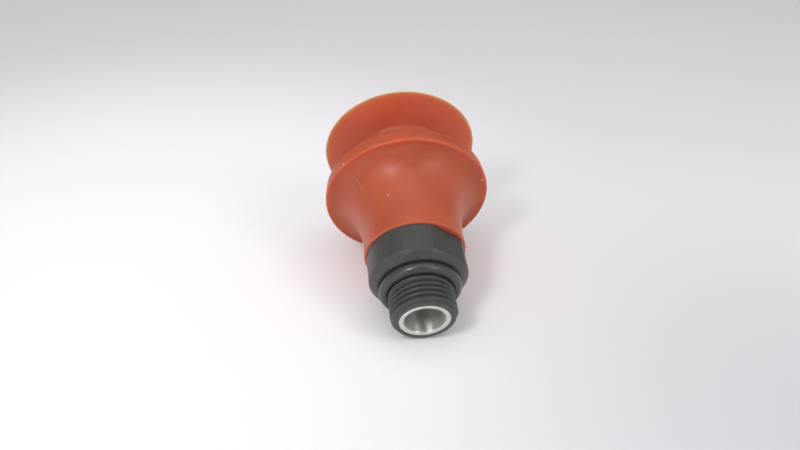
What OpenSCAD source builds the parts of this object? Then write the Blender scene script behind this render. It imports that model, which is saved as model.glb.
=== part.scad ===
// Suction cup with one and a half bellows folds, on a fitting with a G 1/2 thread.
// The part stands on its threaded end: z = 0 is the end face of the thread, and
// +Z is the common axis, towards the mouth of the cup. All sizes are in mm.

/* [Thread] */
// Major diameter of the thread
thread_d = 20.955; // [20.6:0.005:21.2]
// Height at which the thread ends and the ring's seat starts
thread_top_z = 9.5; // [8.5:0.1:9.5]
// Diameter of the end face, inside the entry chamfer
entry_d = 18.8; // [17.5:0.1:19.5]
// Height of the entry chamfer
entry_h = 1.3; // [0.5:0.1:2]

/* [Sealing ring] */
// Diameter of the seat that the ring is stretched over
seat_d = 18.9; // [18.4:0.1:19.4]
// Thickness of the ring's cord
cord_d = 3.7; // [2.5:0.1:3.7]

/* [Collar] */
// Height of the shoulder that the ring rests against
shoulder_z = 13.3; // [13.2:0.1:14]
// Height at which the collar ends and the cup starts
collar_top_z = 25.2; // [22:0.1:27]
// Diameter of the collar
collar_d = 31.8; // [30:0.1:32.4]
// Width across the two wrench flats
flats_w = 29; // [27:0.1:29.8]
// Height at which the wrench flats start, above the round rim that backs the ring
flats_z = 15.1; // [14.1:0.1:18]
// Radial depth of the chamfer below the collar
chamfer_w = 1.8; // [0.5:0.1:1.8]
// Height of the chamfer below the collar
chamfer_h = 2.3; // [1:0.1:3]

/* [Spigot] */
// Diameter of the spigot that the cup is pulled over
spigot_d = 24.4; // [22:0.1:25]
// Diameter over the barb that holds the cup
barb_d = 27.4; // [26:0.1:28]
// Height of the barb's catching face
barb_z = 32.5; // [29:0.1:34]
// Height of the spigot's end, inside the cup
spigot_top_z = 37.5; // [36.5:0.1:39]

/* [Bore] */
// Clear diameter of the bore, which is also the inside of the sleeve
bore_d = 12.9; // [11:0.1:13.5]
// Outer diameter of the sleeve
sleeve_d = 15.9; // [15:0.1:16.5]
// Length of the sleeve
sleeve_h = 22; // [12:0.5:30]

/* [Neck and flare] */
// Diameter of the cup where it meets the collar
neck_end_d = 33.2; // [32.6:0.1:34]
// Diameter of the neck where it starts to flare
neck_d = 33; // [32:0.1:33.2]
// Height at which the neck starts to flare
flare_z = 29.5; // [28:0.1:31]

/* [Bellows] */
// Overall height of the part, up to the lip
total_h = 75; // [74:0.1:78]
// Wall thickness of the cup
wall = 2.6; // [2:0.1:3]
// Diameter of the ridge at its front edge
ridge_d = 56.2; // [54:0.1:58]
// Height of the ridge's front edge
ridge_z = 50; // [49:0.1:51]
// Diameter of the ridge at its back edge
ridge_back_d = 55.6; // [53:0.1:55.8]
// Diameter of the waist between the ridge and the skirt
waist_d = 32.8; // [30:0.1:34]
// Radius of the round bottom of the waist
waist_r = 2.8; // [2:0.1:3.2]
// Slope of the fold from the ridge to the waist, in degrees
fold_slope = 44; // [40:0.5:44.5]
// Slope of the skirt from the waist to the lip, in degrees
skirt_slope = 30; // [28:0.5:31]
// Diameter of the lip
lip_d = 54.6; // [52:0.1:57]
// Width of the lip's flat rim
lip_w = 1.8; // [1:0.1:2.2]

/* [Hidden] */
$fn = 96;
over = 1;
neck_edge_r = 0.6;
brim_w = 1.1;
front_edge_r = 0.7;
back_edge_r = 1.8;
barb_face_h = 0.8;
spigot_end_w = 0.4;
inner_skirt_extra = 10;

ridge_r = ridge_d / 2;
lip_r = lip_d / 2;
waist_wall = wall - 0.2;
inner_waist_r = waist_r + waist_wall;
waist_cr = waist_d / 2 + waist_r;

// The skirt is straight from the waist's round to the lip, which sets the height of the waist.
skirt_turn = 90 - skirt_slope;
waist_cz = total_h - waist_r * sin(skirt_turn)
    - (lip_r - waist_cr + waist_r * cos(skirt_turn)) * tan(skirt_slope);
waist_c = [waist_cr, waist_cz];

// The fold is straight from the waist's round to the ridge, outside and inside.
fold_turn = 90 - fold_slope;
fold_end = waist_c - waist_r * [cos(fold_turn), sin(fold_turn)];
inner_fold_end = waist_c - inner_waist_r * [cos(fold_turn), sin(fold_turn)];

// Height of a line that rises from radius r to a point at the fold's slope
function fold_line_z(end, r) = end[1] - (r - end[0]) * tan(fold_slope);

back_edge_cr = ridge_back_d / 2 - back_edge_r;
back_edge_c = [
    back_edge_cr,
    fold_line_z(fold_end, back_edge_cr + back_edge_r * cos(fold_turn)) - back_edge_r * sin(fold_turn)
];

// The round inside the ridge touches the brim, the ridge's wall and the fold.
crown_end_r = ridge_r - wall;
crown_z = ridge_z + wall;
crown_r = (fold_line_z(inner_fold_end, crown_end_r) - crown_z)
    / (1 + 1 / cos(fold_slope) - tan(fold_slope));
crown_c = [crown_end_r - crown_r, crown_z + crown_r];

// Inside the flare: a quarter of an ellipse from the neck to the round in the ridge
inner_flare_w = crown_c[0] - neck_d / 2 + wall;
inner_flare_h = crown_z - flare_z;

// Points [radius, height] on an ellipse about c with half axes e, from angle a0 to a1
function arc(c, e, a0, a1, steps) =
    [for (i = [0:steps]) let (a = a0 + (a1 - a0) * i / steps) c + [e[0] * cos(a), e[1] * sin(a)]];

cup_outside = concat(
    arc([neck_end_d / 2 - neck_edge_r, collar_top_z + neck_edge_r], neck_edge_r * [1, 1], -90, 0, 4),
    arc([ridge_r - brim_w, flare_z], [ridge_r - brim_w - neck_d / 2, ridge_z - flare_z], 180, 90, 16),
    arc([ridge_r - front_edge_r, ridge_z + front_edge_r], front_edge_r * [1, 1], -90, 0, 4),
    arc(back_edge_c, back_edge_r * [1, 1], 0, fold_turn, 5),
    arc(waist_c, waist_r * [1, 1], 180 + fold_turn, 180 - skirt_turn, 10),
    [[lip_r, total_h]]
);

cup_inside = concat(
    [[lip_r - lip_w, total_h]],
    arc(waist_c, inner_waist_r * [1, 1], 180 - skirt_turn - inner_skirt_extra, 180 + fold_turn, 10),
    arc(crown_c, crown_r * [1, 1], 90 - fold_slope, -90, 8),
    arc([crown_c[0], flare_z], [inner_flare_w, inner_flare_h], 90,
        180 - asin((spigot_top_z - flare_z) / inner_flare_h), 12)
);

// Side of the spigot, from its end down to the collar
spigot_side = [
    [spigot_d / 2 - spigot_end_w, spigot_top_z],
    [barb_d / 2, barb_z + barb_face_h],
    [barb_d / 2, barb_z],
    [spigot_d / 2, barb_z],
    [spigot_d / 2, collar_top_z]
];

module bellows_cup() {
    color("orangered")
        rotate_extrude()
            polygon(concat(cup_outside, cup_inside, spigot_side));
}

// What is cut away from the collar to leave the two wrench flats
module flat_cuts() {
    for (side = [0, 180])
        rotate(side)
            translate([-collar_d / 2, flats_w / 2, flats_z])
                cube([collar_d, collar_d / 2, collar_top_z - flats_z + over]);
}

module threaded_fitting() {
    color("dimgray")
        difference() {
            rotate_extrude()
                polygon(concat(
                    [
                        [sleeve_d / 2, 0],
                        [entry_d / 2, 0],
                        [thread_d / 2, entry_h],
                        [thread_d / 2, thread_top_z],
                        [seat_d / 2, thread_top_z],
                        [seat_d / 2, shoulder_z],
                        [collar_d / 2 - chamfer_w, shoulder_z],
                        [collar_d / 2, shoulder_z + chamfer_h],
                        [collar_d / 2, collar_top_z]
                    ],
                    [for (i = [len(spigot_side) - 1:-1:0]) spigot_side[i]],
                    [
                        [bore_d / 2, spigot_top_z],
                        [bore_d / 2, sleeve_h],
                        [sleeve_d / 2, sleeve_h]
                    ]
                ));
            flat_cuts();
        }
}

module sealing_ring() {
    color("black")
        translate([0, 0, shoulder_z - cord_d / 2])
            rotate_extrude()
                translate([(seat_d + cord_d) / 2, 0])
                    circle(d = cord_d);
}

module bore_sleeve() {
    color("silver")
        difference() {
            cylinder(d = sleeve_d, h = sleeve_h);
            translate([0, 0, -over])
                cylinder(d = bore_d, h = sleeve_h + 2 * over);
        }
}

bellows_cup();
threaded_fitting();
sealing_ring();
bore_sleeve();
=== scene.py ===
"""Bellows suction cup on a threaded fitting: the finished look, for Blender 4.5.

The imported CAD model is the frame: +Z is the common axis, z = 0 is the threaded end
face, and the two wrench flats face +Y and -Y. The script works in millimetres, and
scales to metres where a mesh is made.
"""

import math

import bpy
from mathutils import Matrix, Vector


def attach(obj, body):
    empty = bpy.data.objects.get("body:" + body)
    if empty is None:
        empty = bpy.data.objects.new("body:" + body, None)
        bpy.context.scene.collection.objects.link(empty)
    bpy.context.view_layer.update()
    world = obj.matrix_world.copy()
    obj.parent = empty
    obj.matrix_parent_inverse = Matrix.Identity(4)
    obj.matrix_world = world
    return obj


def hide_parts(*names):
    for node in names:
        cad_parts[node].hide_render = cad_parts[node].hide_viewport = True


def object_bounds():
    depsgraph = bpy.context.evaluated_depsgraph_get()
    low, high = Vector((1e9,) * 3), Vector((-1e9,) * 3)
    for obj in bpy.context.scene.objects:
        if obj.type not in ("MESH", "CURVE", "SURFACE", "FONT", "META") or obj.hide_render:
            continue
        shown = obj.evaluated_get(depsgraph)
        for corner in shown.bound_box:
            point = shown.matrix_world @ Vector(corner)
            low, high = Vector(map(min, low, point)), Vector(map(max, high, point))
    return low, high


MM = 0.001

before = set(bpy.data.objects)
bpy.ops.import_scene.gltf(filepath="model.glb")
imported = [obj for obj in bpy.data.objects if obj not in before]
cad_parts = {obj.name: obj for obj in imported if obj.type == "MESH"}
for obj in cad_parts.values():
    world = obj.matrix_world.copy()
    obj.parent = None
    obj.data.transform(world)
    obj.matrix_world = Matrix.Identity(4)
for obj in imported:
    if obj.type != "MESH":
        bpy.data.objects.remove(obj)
cad_low, cad_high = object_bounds()
scene = bpy.context.scene
scene.view_settings.view_transform = "Standard"

# ---------------------------------------------------------------- sizes, in mm

TOTAL_H = cad_high.z / MM
LIP_R, LIP_W = 27.3, 1.8
RIDGE_R, RIDGE_Z, RIDGE_BACK_R = 28.1, 50.0, 27.8
BRIM_W, FRONT_EDGE_R, BACK_EDGE_R = 1.1, 0.7, 1.8
NECK_R, NECK_END_R, NECK_EDGE_R, FLARE_Z = 16.5, 16.6, 0.6, 29.5
WALL, WAIST_WALL = 2.6, 2.4
WAIST_R, WAIST_ROUND = 16.4, 2.8
FOLD_SLOPE, SKIRT_SLOPE, INNER_SKIRT_EXTRA = 44.0, 30.0, 10.0

COLLAR_R, COLLAR_TOP_Z, SHOULDER_Z = 15.9, 25.2, 13.3
CHAMFER_W, CHAMFER_H = 1.8, 2.3
HALF_FLATS, FLATS_Z, COVE_H = 14.5, 15.1, 0.25
SEAT_R, THREAD_TOP_Z = 9.45, 9.5
THREAD_R, PITCH, ENTRY_R, ENTRY_H = 10.4775, 1.814, 9.4, 1.3
SPIGOT_R, BARB_R, BARB_Z, BARB_FACE_H, SPIGOT_TOP_Z = 12.2, 13.7, 32.5, 0.8, 37.5
SLEEVE_R, BORE_R, SLEEVE_H = 7.95, 6.45, 22.0

# Depth of the full thread, and the height over which it runs out below the ring
THREAD_DEPTH, RUN_OUT = 0.6403 * PITCH, 1.1
# A crest of the thread is 1.43 mm up at 235 degrees, which sets its height at 0 degrees
FIRST_CREST_Z = 1.43 - PITCH * 235 / 360
# The chamfer is steeper up to this share of its height, and starts this much further in
CHAMFER_BEND, CHAMFER_STEP = 0.55, 0.7
# Slack where a height or a radius is compared with an edge that lies exactly there
SLACK = 0.01

# Angles, half width and height of the parting line of the cup's mould
PARTING_DEG, PARTING_W, PARTING_H = (177.2, 357.2), 0.34, 0.16
# Radius, height and angle of the specks of dust on the cup
SPECKS = ((27.3, 55.2, 226), (27.4, 55.1, 177), (28.1, 50.6, 180), (17.7, 38.1, 203), (26.9, 50.0, 303))
SPECK_CORE, SPECK_R, SPECK_SHARE = 0.2, 0.55, 0.7


# ---------------------------------------------------------------- profiles


def arc(centre, axes, start, end, steps):
    """Points (radius, height) on an ellipse, from one angle to another in degrees."""
    turn = [math.radians(start + (end - start) * i / steps) for i in range(steps + 1)]
    return [(centre[0] + axes[0] * math.cos(a), centre[1] + axes[1] * math.sin(a)) for a in turn]


def rounded(corners, steps=4):
    """A closed outline from (radius, height, corner radius), with its corners rounded."""
    points = []
    count = len(corners)
    for i, (r, z, round_r) in enumerate(corners):
        here = Vector((r, z))
        if not round_r:
            points.append((r, z))
            continue
        before = (Vector(corners[i - 1][:2]) - here).normalized()
        after = (Vector(corners[(i + 1) % count][:2]) - here).normalized()
        half = before.angle(after) / 2
        centre = here + (before + after).normalized() * (round_r / math.sin(half))
        start = here + before * (round_r / math.tan(half)) - centre
        end = here + after * (round_r / math.tan(half)) - centre
        sweep = start.angle_signed(end)
        for k in range(steps + 1):
            spoke = start.copy()
            spoke.rotate(Matrix.Rotation(-sweep * k / steps, 2))
            points.append(tuple(centre + spoke))
    return points


def densified(points, longest):
    """The same closed outline, with no step longer than a function of its place allows."""
    out = []
    for (r0, z0), (r1, z1) in zip(points, points[1:] + points[:1]):
        step = longest((r0 + r1) / 2, (z0 + z1) / 2)
        steps = max(1, math.ceil(math.hypot(r1 - r0, z1 - z0) / step))
        out += [(r0 + (r1 - r0) * i / steps, z0 + (z1 - z0) * i / steps) for i in range(steps)]
    return out


def cup_profile():
    """Outline of the cup's wall in two runs: up the outside to the lip, and down the inside."""
    fold_turn = math.radians(90 - FOLD_SLOPE)
    slope = math.tan(math.radians(FOLD_SLOPE))
    skirt_turn = math.radians(90 - SKIRT_SLOPE)
    waist_cr = WAIST_R + WAIST_ROUND
    waist_cz = (
        TOTAL_H
        - WAIST_ROUND * math.sin(skirt_turn)
        - (LIP_R - waist_cr + WAIST_ROUND * math.cos(skirt_turn))
        * math.tan(math.radians(SKIRT_SLOPE))
    )
    waist = (waist_cr, waist_cz)
    inner_round = WAIST_ROUND + WAIST_WALL

    def fold_z(round_r, r):
        """Height at radius r of the straight side of the fold."""
        end_r = waist_cr - round_r * math.cos(fold_turn)
        end_z = waist_cz - round_r * math.sin(fold_turn)
        return end_z - (r - end_r) * slope

    back_cr = RIDGE_BACK_R - BACK_EDGE_R
    back_cz = fold_z(
        WAIST_ROUND, back_cr + BACK_EDGE_R * math.cos(fold_turn)
    ) - BACK_EDGE_R * math.sin(fold_turn)
    crown_end_r, crown_z = RIDGE_R - WALL, RIDGE_Z + WALL
    crown_r = (fold_z(inner_round, crown_end_r) - crown_z) / (
        1 + 1 / math.cos(math.radians(FOLD_SLOPE)) - slope
    )
    crown = (crown_end_r - crown_r, crown_z + crown_r)
    flare_r = RIDGE_R - BRIM_W
    inner_flare = (crown[0] - NECK_R + WALL, crown_z - FLARE_Z)

    outside = arc((NECK_END_R - NECK_EDGE_R, COLLAR_TOP_Z + NECK_EDGE_R), (NECK_EDGE_R,) * 2, -90, 0, 6)
    outside += [(NECK_R + 0.05, (COLLAR_TOP_Z + FLARE_Z) / 2)]
    outside += arc((flare_r, FLARE_Z), (flare_r - NECK_R, RIDGE_Z - FLARE_Z), 180, 90, 48)
    outside += arc((RIDGE_R - FRONT_EDGE_R, RIDGE_Z + FRONT_EDGE_R), (FRONT_EDGE_R,) * 2, -90, 0, 7)
    outside += arc((back_cr, back_cz), (BACK_EDGE_R,) * 2, 0, 90 - FOLD_SLOPE, 8)
    outside += arc(waist, (WAIST_ROUND,) * 2, 270 - FOLD_SLOPE, 90 + SKIRT_SLOPE, 16)
    outside += [(LIP_R - 0.25, TOTAL_H - 0.14), (LIP_R - 0.06, TOTAL_H - 0.02), (LIP_R - 0.2, TOTAL_H)]
    inside = [(LIP_R - LIP_W, TOTAL_H)]
    inside += arc(waist, (inner_round,) * 2, 90 + SKIRT_SLOPE - INNER_SKIRT_EXTRA, 270 - FOLD_SLOPE, 16)
    inside += arc(crown, (crown_r,) * 2, 90 - FOLD_SLOPE, -90, 14)
    stop = 180 - math.degrees(math.asin((SPIGOT_TOP_Z - FLARE_Z) / inner_flare[1]))
    inside += arc((crown[0], FLARE_Z), inner_flare, 90, stop, 30)
    inside += spigot_side()
    return outside, inside


def spigot_side():
    """Side of the spigot and its barb, from its end down to the collar."""
    return [
        (SPIGOT_R - 0.4, SPIGOT_TOP_Z),
        (BARB_R, BARB_Z + BARB_FACE_H),
        (BARB_R, BARB_Z),
        (SPIGOT_R, BARB_Z),
        (SPIGOT_R, COLLAR_TOP_Z),
    ]


# ---------------------------------------------------------------- nodes


def linear(hex_code):
    """An sRGB hex value as a linear colour."""
    parts = [int(hex_code[i:i + 2], 16) / 255 for i in (0, 2, 4)]
    return tuple(c / 12.92 if c <= 0.04045 else ((c + 0.055) / 1.055) ** 2.4 for c in parts) + (1.0,)


def add_node(tree, kind, settings=None, inputs=None):
    """Adds a node. Each input, by its name or place, gets a value or another node's output."""
    node = tree.nodes.new(kind)
    for name, value in (settings or {}).items():
        setattr(node, name, value)
    for place, value in (inputs or {}).items():
        if isinstance(value, bpy.types.NodeSocket):
            tree.links.new(value, node.inputs[place])
        else:
            node.inputs[place].default_value = value
    return node


# ---------------------------------------------------------------- meshes


def mesh_piece(name, points, faces, sharp_deg):
    """A smooth-shaded object from points in mm, with creases over the angle left sharp."""
    mesh = bpy.data.meshes.new(name)
    mesh.from_pydata([tuple(c * MM for c in p) for p in points], [], faces)
    mesh.validate()
    mesh.shade_smooth()
    mesh.set_sharp_from_angle(angle=math.radians(sharp_deg))
    piece = bpy.data.objects.new(name, mesh)
    scene.collection.objects.link(piece)
    return piece


def ring_grid(rows, columns):
    """Quads between closed rows of points that follow a closed outline, facing outwards."""
    faces = []
    for i in range(rows):
        below, above = i * columns, ((i + 1) % rows) * columns
        for j in range(columns):
            k = (j + 1) % columns
            faces.append((below + j, below + k, above + k, above + j))
    return faces


def bump(distance, width):
    """A smooth low ridge: 1 on its line, 0 beyond its half width."""
    x = min(1.0, abs(distance) / width)
    return (1 - x * x) ** 2


def build_cup():
    """The silicone cup, with the parting line of its mould standing proud outside."""
    outside, inside = cup_profile()
    profile = densified(outside + inside, lambda r, z: 0.8)
    lip_row = profile.index(outside[-1])
    # Columns across each parting line by their distance from it in mm, and evenly between the lines
    line_offsets = (-0.5, -0.32, -0.2, -0.1, 0.0, 0.1, 0.2, 0.32, 0.5)
    step_deg = 2.5
    columns = []
    for line in PARTING_DEG:
        columns += [(line, offset) for offset in line_offsets]
        columns += [(line + step_deg * i, 0.0) for i in range(1, round(180 / step_deg))]
    points = []
    count = len(profile)
    for i, (r, z) in enumerate(profile):
        before, after = profile[i - 1], profile[(i + 1) % count]
        along = Vector((after[0] - before[0], after[1] - before[1])).normalized()
        # The line stops short of the collar and the lip
        proud = PARTING_H if 3 < i < lip_row - 3 else 0.0
        for base, offset in columns:
            on_line = base in PARTING_DEG
            lift = proud * bump(offset, PARTING_W) if on_line else 0.0
            angle = math.radians(base) + offset / r
            reach = r + along.y * lift
            points.append((reach * math.cos(angle), reach * math.sin(angle), z - along.x * lift))
    return mesh_piece("cup", points, ring_grid(count, len(columns)), 32)


def thread_tree():
    """Geometry nodes that cut a right-handed thread into a turned blank that stands on +Z."""
    tree = bpy.data.node_groups.new("pipe_thread", "GeometryNodeTree")
    floats = ("Major Radius", "Pitch", "Depth", "First Crest", "Top", "Run Out", "Seat Radius")
    tree.interface.new_socket("Geometry", in_out="OUTPUT", socket_type="NodeSocketGeometry")
    identifiers = {}
    for label, kind in (("Geometry", "Geometry"), *((label, "Float") for label in floats),
                        ("Material", "Material")):
        socket = tree.interface.new_socket(label, in_out="INPUT", socket_type="NodeSocket" + kind)
        identifiers[label] = socket.identifier
    given = add_node(tree, "NodeGroupInput").outputs
    place = add_node(tree, "GeometryNodeInputPosition").outputs[0]
    part = add_node(tree, "ShaderNodeSeparateXYZ", None, {"Vector": place}).outputs

    # Each row names a result, and says how it comes from results above it and from numbers
    math_node = ("ShaderNodeMath", "operation")
    range_node = ("ShaderNodeMapRange", "interpolation_type")
    results = {"x": part["X"], "y": part["Y"], "z": part["Z"]}
    results.update((label, given[label]) for label in floats)
    for name, (kind, setting), way, *terms in (
        ("xx", math_node, "MULTIPLY", "x", "x"),
        ("yy", math_node, "MULTIPLY", "y", "y"),
        ("rr", math_node, "ADD", "xx", "yy"),
        ("radius", math_node, "SQRT", "rr"),
        ("angle", math_node, "ARCTAN2", "y", "x"),
        ("rise", math_node, "SUBTRACT", "z", "First Crest"),
        ("rise turns", math_node, "DIVIDE", "rise", "Pitch"),
        ("angle turns", math_node, "DIVIDE", "angle", 2 * math.pi),
        ("turns", math_node, "SUBTRACT", "rise turns", "angle turns"),
        ("off crest", math_node, "PINGPONG", "turns", 0.5),
        # The flank is mostly straight, between a rounded crest and a rounded root
        ("flank", range_node, "LINEAR", "off crest", 0.06, 0.44),
        ("soft flank", range_node, "SMOOTHSTEP", "off crest", 0.06, 0.44),
        ("straight share", math_node, "MULTIPLY", "flank", 0.72),
        ("soft share", math_node, "MULTIPLY", "soft flank", 0.28),
        ("form", math_node, "ADD", "straight share", "soft share"),
        ("below top", math_node, "SUBTRACT", "Top", "z"),
        ("run out share", math_node, "DIVIDE", "below top", "Run Out"),
        ("fade", range_node, "SMOOTHSTEP", "run out share"),
        ("full cut", math_node, "MULTIPLY", "form", "Depth"),
        ("cut", math_node, "MULTIPLY", "full cut", "fade"),
        ("groove", math_node, "SUBTRACT", "Major Radius", "cut"),
        ("new radius", math_node, "MINIMUM", "radius", "groove"),
        ("scale", math_node, "DIVIDE", "new radius", "radius"),
        ("new x", math_node, "MULTIPLY", "x", "scale"),
        ("new y", math_node, "MULTIPLY", "y", "scale"),
        # Only the outside of the blank is cut, between its end face and the ring's seat
        ("over end", math_node, "GREATER_THAN", "z", 0.0),
        ("top edge", math_node, "ADD", "Top", SLACK * MM),
        ("under top", math_node, "LESS_THAN", "z", "top edge"),
        ("in height", math_node, "MULTIPLY", "over end", "under top"),
        ("in radius", math_node, "GREATER_THAN", "radius", "Seat Radius"),
        ("threaded", math_node, "MULTIPLY", "in height", "in radius"),
    ):
        inputs = {i: results[term] if isinstance(term, str) else term for i, term in enumerate(terms)}
        results[name] = add_node(tree, kind, {setting: way}, inputs).outputs[0]

    moved = add_node(
        tree, "ShaderNodeCombineXYZ", None,
        {"X": results["new x"], "Y": results["new y"], "Z": results["z"]},
    ).outputs[0]
    shaped = add_node(
        tree, "GeometryNodeSetPosition", None,
        {"Geometry": given["Geometry"], "Selection": results["threaded"], "Position": moved},
    ).outputs[0]
    real = add_node(tree, "GeometryNodeRealizeInstances", None, {"Geometry": shaped}).outputs[0]
    coated = add_node(
        tree, "GeometryNodeSetMaterial", None, {"Geometry": real, "Material": given["Material"]}
    ).outputs[0]
    add_node(tree, "NodeGroupOutput", None, {"Geometry": coated})
    return tree, identifiers


def cut_thread(blank, material):
    """The blank with its thread cut, as a plain mesh."""
    tree, identifiers = thread_tree()
    modifier = blank.modifiers.new("thread", "NODES")
    modifier.node_group = tree
    values = {
        "Major Radius": THREAD_R * MM,
        "Pitch": PITCH * MM,
        "Depth": THREAD_DEPTH * MM,
        "First Crest": FIRST_CREST_Z * MM,
        "Top": THREAD_TOP_Z * MM,
        "Run Out": RUN_OUT * MM,
        "Seat Radius": (SEAT_R + 2 * SLACK) * MM,
        "Material": material,
    }
    for label, value in values.items():
        modifier[identifiers[label]] = value
    cut = bpy.data.meshes.new_from_object(blank.evaluated_get(bpy.context.evaluated_depsgraph_get()))
    blank.modifiers.remove(modifier)
    blank.data = cut
    return blank


def turned(name, corners, longest, columns, radius_at, sharp_deg):
    """A turned piece from a closed outline of rounded corners, with its radius set by a function."""
    profile = densified(rounded(corners), longest)
    points = []
    for r, z in profile:
        for j in range(columns):
            angle = 2 * math.pi * j / columns
            reach = radius_at(angle, r, z)
            points.append((reach * math.cos(angle), reach * math.sin(angle), z))
    return mesh_piece(name, points, ring_grid(len(profile), columns), sharp_deg)


def collar_radius(angle, radius):
    """Radius of the collar with its two wrench flats, their edges slightly rounded."""
    softness = 0.12
    flat = HALF_FLATS / max(0.2, abs(math.sin(angle)))
    gap = radius - flat
    return (radius + flat - math.sqrt(gap * gap + softness * softness)) / 2


def fitting_step(r, z):
    """Longest step along the fitting's outline: short where the thread and the flats are cut."""
    if z < THREAD_TOP_Z + SLACK and r > SEAT_R - 0.3:
        return 0.11
    if FLATS_Z < z < FLATS_Z + COVE_H:
        return 0.05
    return 1.5


def fitting_radius(angle, r, z):
    """Radius of the fitting where its outline has radius r: less at the flats, with a cove below."""
    if FLATS_Z < z <= COLLAR_TOP_Z + SLACK and r > HALF_FLATS - 0.5:
        rise = min(1.0, (z - FLATS_Z) / COVE_H)
        return r + (collar_radius(angle, r) - r) * math.sqrt(1 - (1 - rise) ** 2)
    return r


def build_fitting():
    """The black fitting before its thread is cut: ring's seat, collar with flats, and spigot."""
    corners = [
        (SLEEVE_R, 0, 0),
        (ENTRY_R, 0, 0.25),
        (THREAD_R, ENTRY_H, 0),
        (THREAD_R, THREAD_TOP_Z, 0.15),
        (SEAT_R, THREAD_TOP_Z, 0),
        (SEAT_R, SHOULDER_Z, 0),
        (COLLAR_R - CHAMFER_W - CHAMFER_STEP, SHOULDER_Z, 0.1),
        *((COLLAR_R - CHAMFER_W * (1 - (z - SHOULDER_Z) / CHAMFER_H), z, 0)
          for z in (SHOULDER_Z + CHAMFER_BEND * CHAMFER_H, FLATS_Z, FLATS_Z + COVE_H)),
        (COLLAR_R, SHOULDER_Z + CHAMFER_H, 0.3),
        (COLLAR_R, COLLAR_TOP_Z, 0.3),
    ]
    corners += [(r, z, 0) for r, z in reversed(spigot_side())]
    corners += [(BORE_R, SPIGOT_TOP_Z, 0.2), (BORE_R, SLEEVE_H, 0), (SLEEVE_R, SLEEVE_H, 0)]
    return turned("fitting", corners, fitting_step, 288, fitting_radius, 38)


def build_sleeve():
    """The bright sleeve in the bore, with its inner edge well rounded."""
    corners = [(BORE_R, SLEEVE_H, 0), (BORE_R, 0, 0.35), (SLEEVE_R, 0, 0.08), (SLEEVE_R, SLEEVE_H, 0)]
    return turned("sleeve", corners, lambda r, z: 0.5, 180, lambda angle, r, z: r, 32)


# ---------------------------------------------------------------- materials


def new_material(name):
    """An empty node material: its tree and its output node."""
    material = bpy.data.materials.new(name)
    material.use_nodes = True
    tree = material.node_tree
    tree.nodes.clear()
    return material, tree, tree.nodes.new("ShaderNodeOutputMaterial")


EVEN = (1, 1, 1)


def skin(tree, first, second, *patterns, relief=(0, 0)):
    """A colour that drifts between two tones, and a normal for the fine relief if it has one.

    The patterns are noise on Object coordinates, the colour's first: size in mm, detail,
    roughness and stretch. The relief is a strength and a depth in mm.
    """
    place = add_node(tree, "ShaderNodeTexCoord").outputs["Object"]
    noises = []
    for size_mm, detail, roughness, stretch in patterns:
        scaled = add_node(tree, "ShaderNodeMapping", None, {"Vector": place, "Scale": stretch}).outputs[0]
        noise = add_node(
            tree, "ShaderNodeTexNoise", None,
            {"Vector": scaled, "Scale": 1 / (size_mm * MM), "Detail": detail, "Roughness": roughness},
        )
        noises.append(noise.outputs[0])
    drift = add_node(
        tree, "ShaderNodeMapRange", None, {"Value": noises[0], "From Min": 0.35, "From Max": 0.65}
    ).outputs[0]
    colour = add_node(
        tree, "ShaderNodeMix", {"data_type": "RGBA"}, {0: drift, 6: linear(first), 7: linear(second)}
    ).outputs[2]
    if len(noises) == 1:
        return colour, None
    strength, depth_mm = relief
    normal = add_node(
        tree, "ShaderNodeBump", None,
        {"Strength": strength, "Distance": depth_mm * MM, "Height": noises[1]},
    ).outputs[0]
    return colour, normal


def moulded_silicone():
    """Silicone from a fine-eroded steel mould: satin, and lit from within where its wall is thin."""
    material, tree, output = new_material("moulded_silicone")
    colour, normal = skin(
        tree, "B45638", "BC5C3C", (14, 2, 0.55, EVEN), (0.35, 4, 0.6, EVEN), relief=(0.25, 0.05)
    )
    # Specks of dust that stick to the silicone
    place = add_node(tree, "ShaderNodeTexCoord").outputs["Object"]
    for r, z, turn in SPECKS:
        angle = math.radians(turn)
        centre = Vector((r * math.cos(angle), r * math.sin(angle), z)) * MM
        away = add_node(
            tree, "ShaderNodeVectorMath", {"operation": "DISTANCE"}, {0: place, 1: centre}
        ).outputs["Value"]
        dust = add_node(
            tree, "ShaderNodeMapRange", {"interpolation_type": "SMOOTHSTEP"},
            {"Value": away, "From Min": SPECK_R * MM, "From Max": SPECK_CORE * MM, "To Max": SPECK_SHARE},
        ).outputs[0]
        colour = add_node(
            tree, "ShaderNodeMix", {"data_type": "RGBA"}, {0: dust, 6: colour, 7: linear("E8C8BC")}
        ).outputs[2]
    shader = add_node(
        tree, "ShaderNodeBsdfPrincipled", None,
        {
            "Base Color": colour,
            "Normal": normal,
            "Roughness": 0.38,
            "IOR": 1.41,
            "Subsurface Weight": 1.0,
            "Subsurface Radius": (1.0, 0.45, 0.25),
            "Subsurface Scale": 7 * MM,
        },
    )
    tree.links.new(shader.outputs[0], output.inputs[0])
    return material


def moulded_polyamide():
    """Glass-filled polyamide, moulded black: satin, with faint flow marks along the axis."""
    material, tree, output = new_material("moulded_polyamide")
    colour, normal = skin(
        tree, "3C3C3A", "444442", (1.6, 2, 0.5, (1, 1, 0.08)), (0.3, 3, 0.55, EVEN), relief=(0.2, 0.03)
    )
    shader = add_node(
        tree, "ShaderNodeBsdfPrincipled", None,
        {"Base Color": colour, "Normal": normal, "Roughness": 0.42, "IOR": 1.53},
    )
    tree.links.new(shader.outputs[0], output.inputs[0])
    return material


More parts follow.
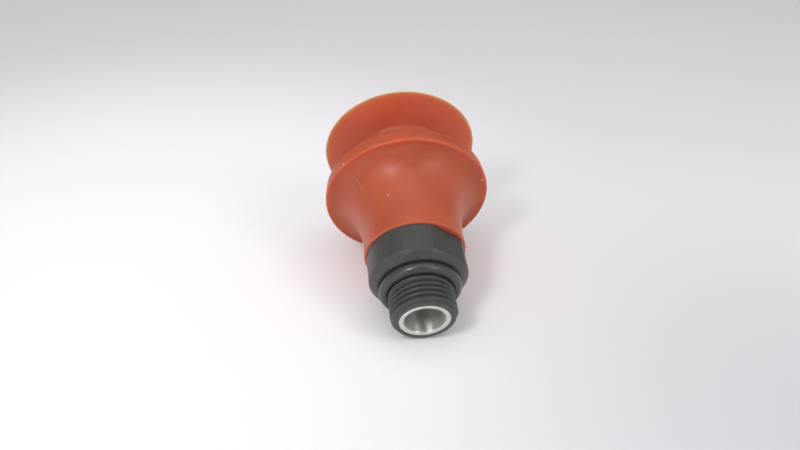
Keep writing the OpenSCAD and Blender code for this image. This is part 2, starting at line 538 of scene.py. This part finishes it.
def nitrile_rubber():
    """Nitrile rubber cord, moulded smooth: the glossiest of the black pieces."""
    material, tree, output = new_material("nitrile_rubber")
    colour = skin(tree, "3E3E3E", "444444", (2.5, 2, 0.55, EVEN))[0]
    shader = add_node(
        tree, "ShaderNodeBsdfPrincipled", None, {"Base Color": colour, "Roughness": 0.25, "IOR": 1.52}
    )
    tree.links.new(shader.outputs[0], output.inputs[0])
    return material


def turned_aluminium():
    """Aluminium turned on a lathe: its fine rings draw each lamp into a streak along the bore."""
    material, tree, output = new_material("turned_aluminium")
    colour = skin(tree, "D8D6D0", "E6E4DF", (3, 2, 0.55, EVEN))[0]
    rings = add_node(tree, "ShaderNodeTangent", {"direction_type": "RADIAL", "axis": "Z"}).outputs[0]
    shader = add_node(
        tree, "ShaderNodeBsdfPrincipled", None,
        {
            "Base Color": colour,
            "Tangent": rings,
            "Metallic": 1.0,
            "Roughness": 0.46,
            "Anisotropic": 0.8,
            "Anisotropic Rotation": 0.25,
        },
    )
    tree.links.new(shader.outputs[0], output.inputs[0])
    return material


# ---------------------------------------------------------------- pieces


def dress(piece, material, node):
    """Gives a piece its material and puts it in the place of a CAD node."""
    piece.data.materials.clear()
    piece.data.materials.append(material)
    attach(piece, "root")
    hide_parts(node)


dress(build_cup(), moulded_silicone(), "bellows_cup")
polyamide = moulded_polyamide()
dress(cut_thread(build_fitting(), polyamide), polyamide, "threaded_fitting")
dress(build_sleeve(), turned_aluminium(), "bore_sleeve")
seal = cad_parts["sealing_ring"]
seal.data.materials.clear()
seal.data.materials.append(nitrile_rubber())

# ---------------------------------------------------------------- stage

# The bench that the part leans against: it touches the ridge and the collar's lower edge.
BENCH_UP = Vector((-0.602, -0.726, 0.332)).normalized()
UP_THE_BENCH = (Vector((0, 0, 1)) - BENCH_UP * BENCH_UP.z).normalized()
ACROSS_THE_BENCH = UP_THE_BENCH.cross(BENCH_UP)


def near(tree, up, across, full, none):
    """A factor that falls from 1 to 0 between two distances from a place on the bench, in mm."""
    place = add_node(tree, "ShaderNodeTexCoord").outputs["Object"]
    centre = (UP_THE_BENCH * up + ACROSS_THE_BENCH * across) * MM
    away = add_node(
        tree, "ShaderNodeVectorMath", {"operation": "DISTANCE"}, {0: place, 1: centre}
    ).outputs["Value"]
    return add_node(
        tree, "ShaderNodeMapRange", {"interpolation_type": "SMOOTHSTEP"},
        {"Value": away, "From Min": none * MM, "From Max": full * MM},
    ).outputs[0]


def one_sided(name, colour_hex, glow):
    """A pale matt sheet that only its front side shows, so that it never hides the part, with painted
    shade round one place and a painted glow round another.
    """
    material, tree, output = new_material(name)
    # Painted shade: the sheet turns greyer towards one place on it, standing in for the shade that falls
    # there
    painted_shade = near(tree, -70, 105, 0, 175)
    painted_shade_tone = add_node(
        tree, "ShaderNodeMix", {"data_type": "RGBA"},
        {0: painted_shade, 6: linear(colour_hex), 7: linear("DCDADE")},
    ).outputs[2]
    matt = add_node(tree, "ShaderNodeBsdfDiffuse", None, {"Color": painted_shade_tone}).outputs[0]
    # Painted light: the sheet glows round another place on it, standing in for a pool of light there
    painted_light_pool = near(tree, 125, -115, 30, 240)
    strength = add_node(
        tree, "ShaderNodeMath", {"operation": "MULTIPLY_ADD"}, {0: painted_light_pool, 1: 0.18, 2: glow}
    ).outputs[0]
    # Only views and reflections show this painted glow, so it throws no light on the part
    rays = add_node(tree, "ShaderNodeLightPath").outputs
    seen = rays["Is Camera Ray"]
    for other in ("Is Glossy Ray", "Is Transmission Ray"):
        seen = add_node(
            tree, "ShaderNodeMath", {"operation": "MAXIMUM"}, {0: seen, 1: rays[other]}
        ).outputs[0]
    shown = add_node(tree, "ShaderNodeMath", {"operation": "MULTIPLY"}, {0: strength, 1: seen}).outputs[0]
    light = add_node(
        tree, "ShaderNodeEmission", None, {"Color": linear(colour_hex), "Strength": shown}
    ).outputs[0]
    both = add_node(tree, "ShaderNodeAddShader", None, {0: matt, 1: light}).outputs[0]
    clear = add_node(tree, "ShaderNodeBsdfTransparent").outputs[0]
    back = add_node(tree, "ShaderNodeNewGeometry").outputs["Backfacing"]
    mix = add_node(tree, "ShaderNodeMixShader", None, {0: back, 1: both, 2: clear})
    tree.links.new(mix.outputs[0], output.inputs[0])
    return material


def sheet(name, centre, up, half_size, material):
    """A square stage sheet round a point, facing a direction."""
    turn = Vector((0, 0, 1)).rotation_difference(up).to_matrix()
    corners = [turn @ Vector((x, y, 0)) * half_size + centre
               for x, y in ((-1, -1), (1, -1), (1, 1), (-1, 1))]
    piece = mesh_piece(name, [tuple(c) for c in corners], [(0, 1, 2, 3)], 32)
    piece.data.materials.append(material)
    return piece


# Distance of the bench from the origin, along its normal: the ridge's edge touches it
bench_side = math.hypot(BENCH_UP.x, BENCH_UP.y)
bench_at = min(
    -r * bench_side + z * BENCH_UP.z
    for r, z in ((RIDGE_R, RIDGE_Z + FRONT_EDGE_R), (COLLAR_R, SHOULDER_Z + CHAMFER_H), (ENTRY_R, 0))
)
SHEET_HALF, BENCH_GAP, FLOOR_GAP = 1500, 0.02, 0.05
UPRIGHT = Vector((0, 0, 1))
bench_look = one_sided("bench_laminate", "FAF8FA", 0.0)
sheet("bench", BENCH_UP * (bench_at - BENCH_GAP), BENCH_UP, SHEET_HALF, bench_look)
floor_look = one_sided("floor_laminate", "E6E4E6", 0.25)
floor = sheet("floor", UPRIGHT * -FLOOR_GAP, UPRIGHT, SHEET_HALF, floor_look)
# Only the camera sees the floor, so that the light that falls on the bench goes through it
floor.visible_diffuse = False
floor.visible_glossy = False
floor.visible_transmission = False
floor.visible_shadow = False

# The room is paler low down, with one dark place: whoever looks along the part from below
world = bpy.data.worlds.new("soft_room")
scene.world = world
world.use_nodes = True
room_tree = world.node_tree
room = room_tree.nodes["Background"]
room.inputs["Color"].default_value = linear("F4F4F6")
outwards = add_node(room_tree, "ShaderNodeTexCoord").outputs["Generated"]
height = add_node(room_tree, "ShaderNodeSeparateXYZ", None, {"Vector": outwards}).outputs["Z"]
pale = add_node(
    room_tree, "ShaderNodeMapRange", None,
    {"Value": height, "From Min": -1.0, "From Max": 1.0, "To Min": 1.3, "To Max": 0.1},
).outputs[0]
onlooker = Vector((-0.53, -0.50, -0.69)).normalized()
facing = add_node(
    room_tree, "ShaderNodeVectorMath", {"operation": "DOT_PRODUCT"}, {0: outwards, 1: onlooker}
).outputs["Value"]
dark = add_node(
    room_tree, "ShaderNodeMapRange", {"interpolation_type": "SMOOTHSTEP"},
    {"Value": facing, "From Min": 0.78, "From Max": 0.96, "To Min": 1.0, "To Max": 0.2},
).outputs[0]
room_strength = add_node(room_tree, "ShaderNodeMath", {"operation": "MULTIPLY"}, {0: pale, 1: dark})
room_tree.links.new(room_strength.outputs[0], room.inputs["Strength"])

LAMP_AIM = Vector((0, 0, 40))


def lamp(name, direction, distance, size, power):
    """A square soft lamp in a direction from the middle of the part, aimed back at it."""
    data = bpy.data.lights.new(name, "AREA")
    data.shape = "SQUARE"
    data.size = size * MM
    data.energy = power
    item = bpy.data.objects.new(name, data)
    item.location = (Vector(direction).normalized() * distance + LAMP_AIM) * MM
    item.rotation_euler = Vector(direction).to_track_quat("Z", "Y").to_euler()
    scene.collection.objects.link(item)


lamp("left_lamp", (-0.868, -0.360, -0.342), 380, 70, 0.45)
lamp("right_lamp", (-0.049, -0.938, -0.342), 480, 100, 0.3)
# A wide panel over the bench, which gives the part its soft shadow and its upper sides their light
lamp("ceiling", BENCH_UP, 900, 1100, 2.5)

# ---------------------------------------------------------------- camera

# The view looks up at the threaded end, from 40 degrees below it.
AIM = Vector((-2.1, 3.0, 39.4))
VIEW_DISTANCE = 241.8
VIEW_AZIMUTH, VIEW_ELEVATION, VIEW_ROLL = -46.73, -40.25, -7.64

azimuth, elevation = math.radians(VIEW_AZIMUTH), math.radians(VIEW_ELEVATION)
towards_camera = Vector((
    math.cos(elevation) * math.sin(azimuth),
    -math.cos(elevation) * math.cos(azimuth),
    math.sin(elevation),
))
camera_data = bpy.data.cameras.new("camera")
camera_data.sensor_width = 36
camera_data.lens = 32.17
camera_data.clip_start = 0.01
camera = bpy.data.objects.new("camera", camera_data)
aim_turn = towards_camera.to_track_quat("Z", "Y").to_matrix()
roll = Matrix.Rotation(math.radians(VIEW_ROLL), 3, "Z")
camera.matrix_world = Matrix.Translation((AIM + towards_camera * VIEW_DISTANCE) * MM) @ (
    aim_turn @ roll
).to_4x4()
scene.collection.objects.link(camera)
scene.camera = camera
